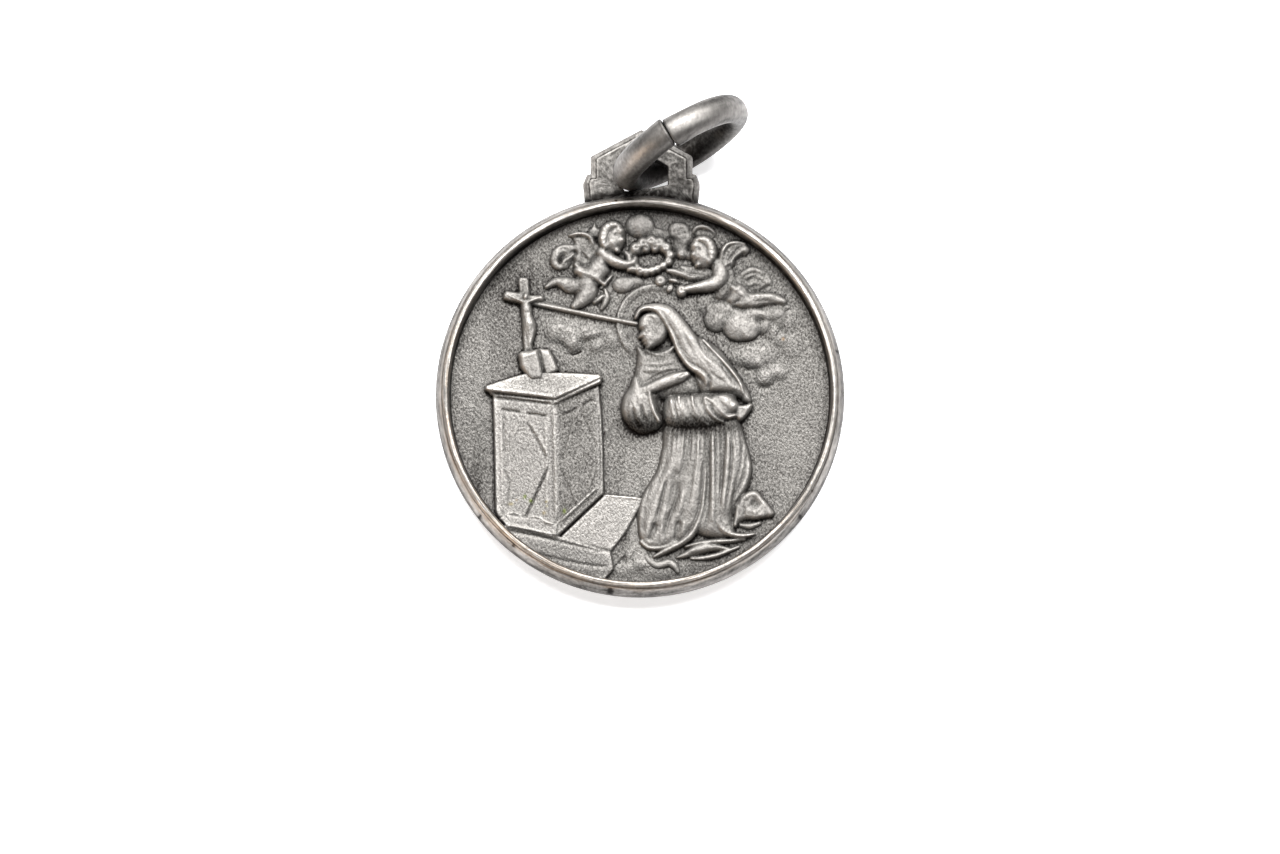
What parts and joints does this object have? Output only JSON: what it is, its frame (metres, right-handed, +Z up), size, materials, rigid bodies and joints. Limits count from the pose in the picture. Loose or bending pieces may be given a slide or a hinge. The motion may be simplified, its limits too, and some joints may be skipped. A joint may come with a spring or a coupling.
{
  "type": "religious medal pendant",
  "caption": "Round struck devotional medal with a raised rim and a relief scene of a kneeling figure before an altar, on a gabled lug with a split jump ring, lying face up.",
  "frame": {"origin": "middle of the part's box on the floor that it lies on", "axes": "+Z up out of the medal's face, which leans a few degrees on the ring; +Y from the disc's lowest edge towards the lug; +X to the right of the scene"},
  "size_m": [0.02, 0.0244, 0.0076],
  "materials": {
    "medal_silver": "oxidised silver: worn bright high spots, dark patina in the recesses, fine sand-blasted ground",
    "ring_silver": "oxidised silver wire, satin and lightly scratched, darker inside the bend"
  },
  "bodies": {
    "root": {"medal": "medal_silver", "jump_ring": "ring_silver"}
  },
  "joints": []
}
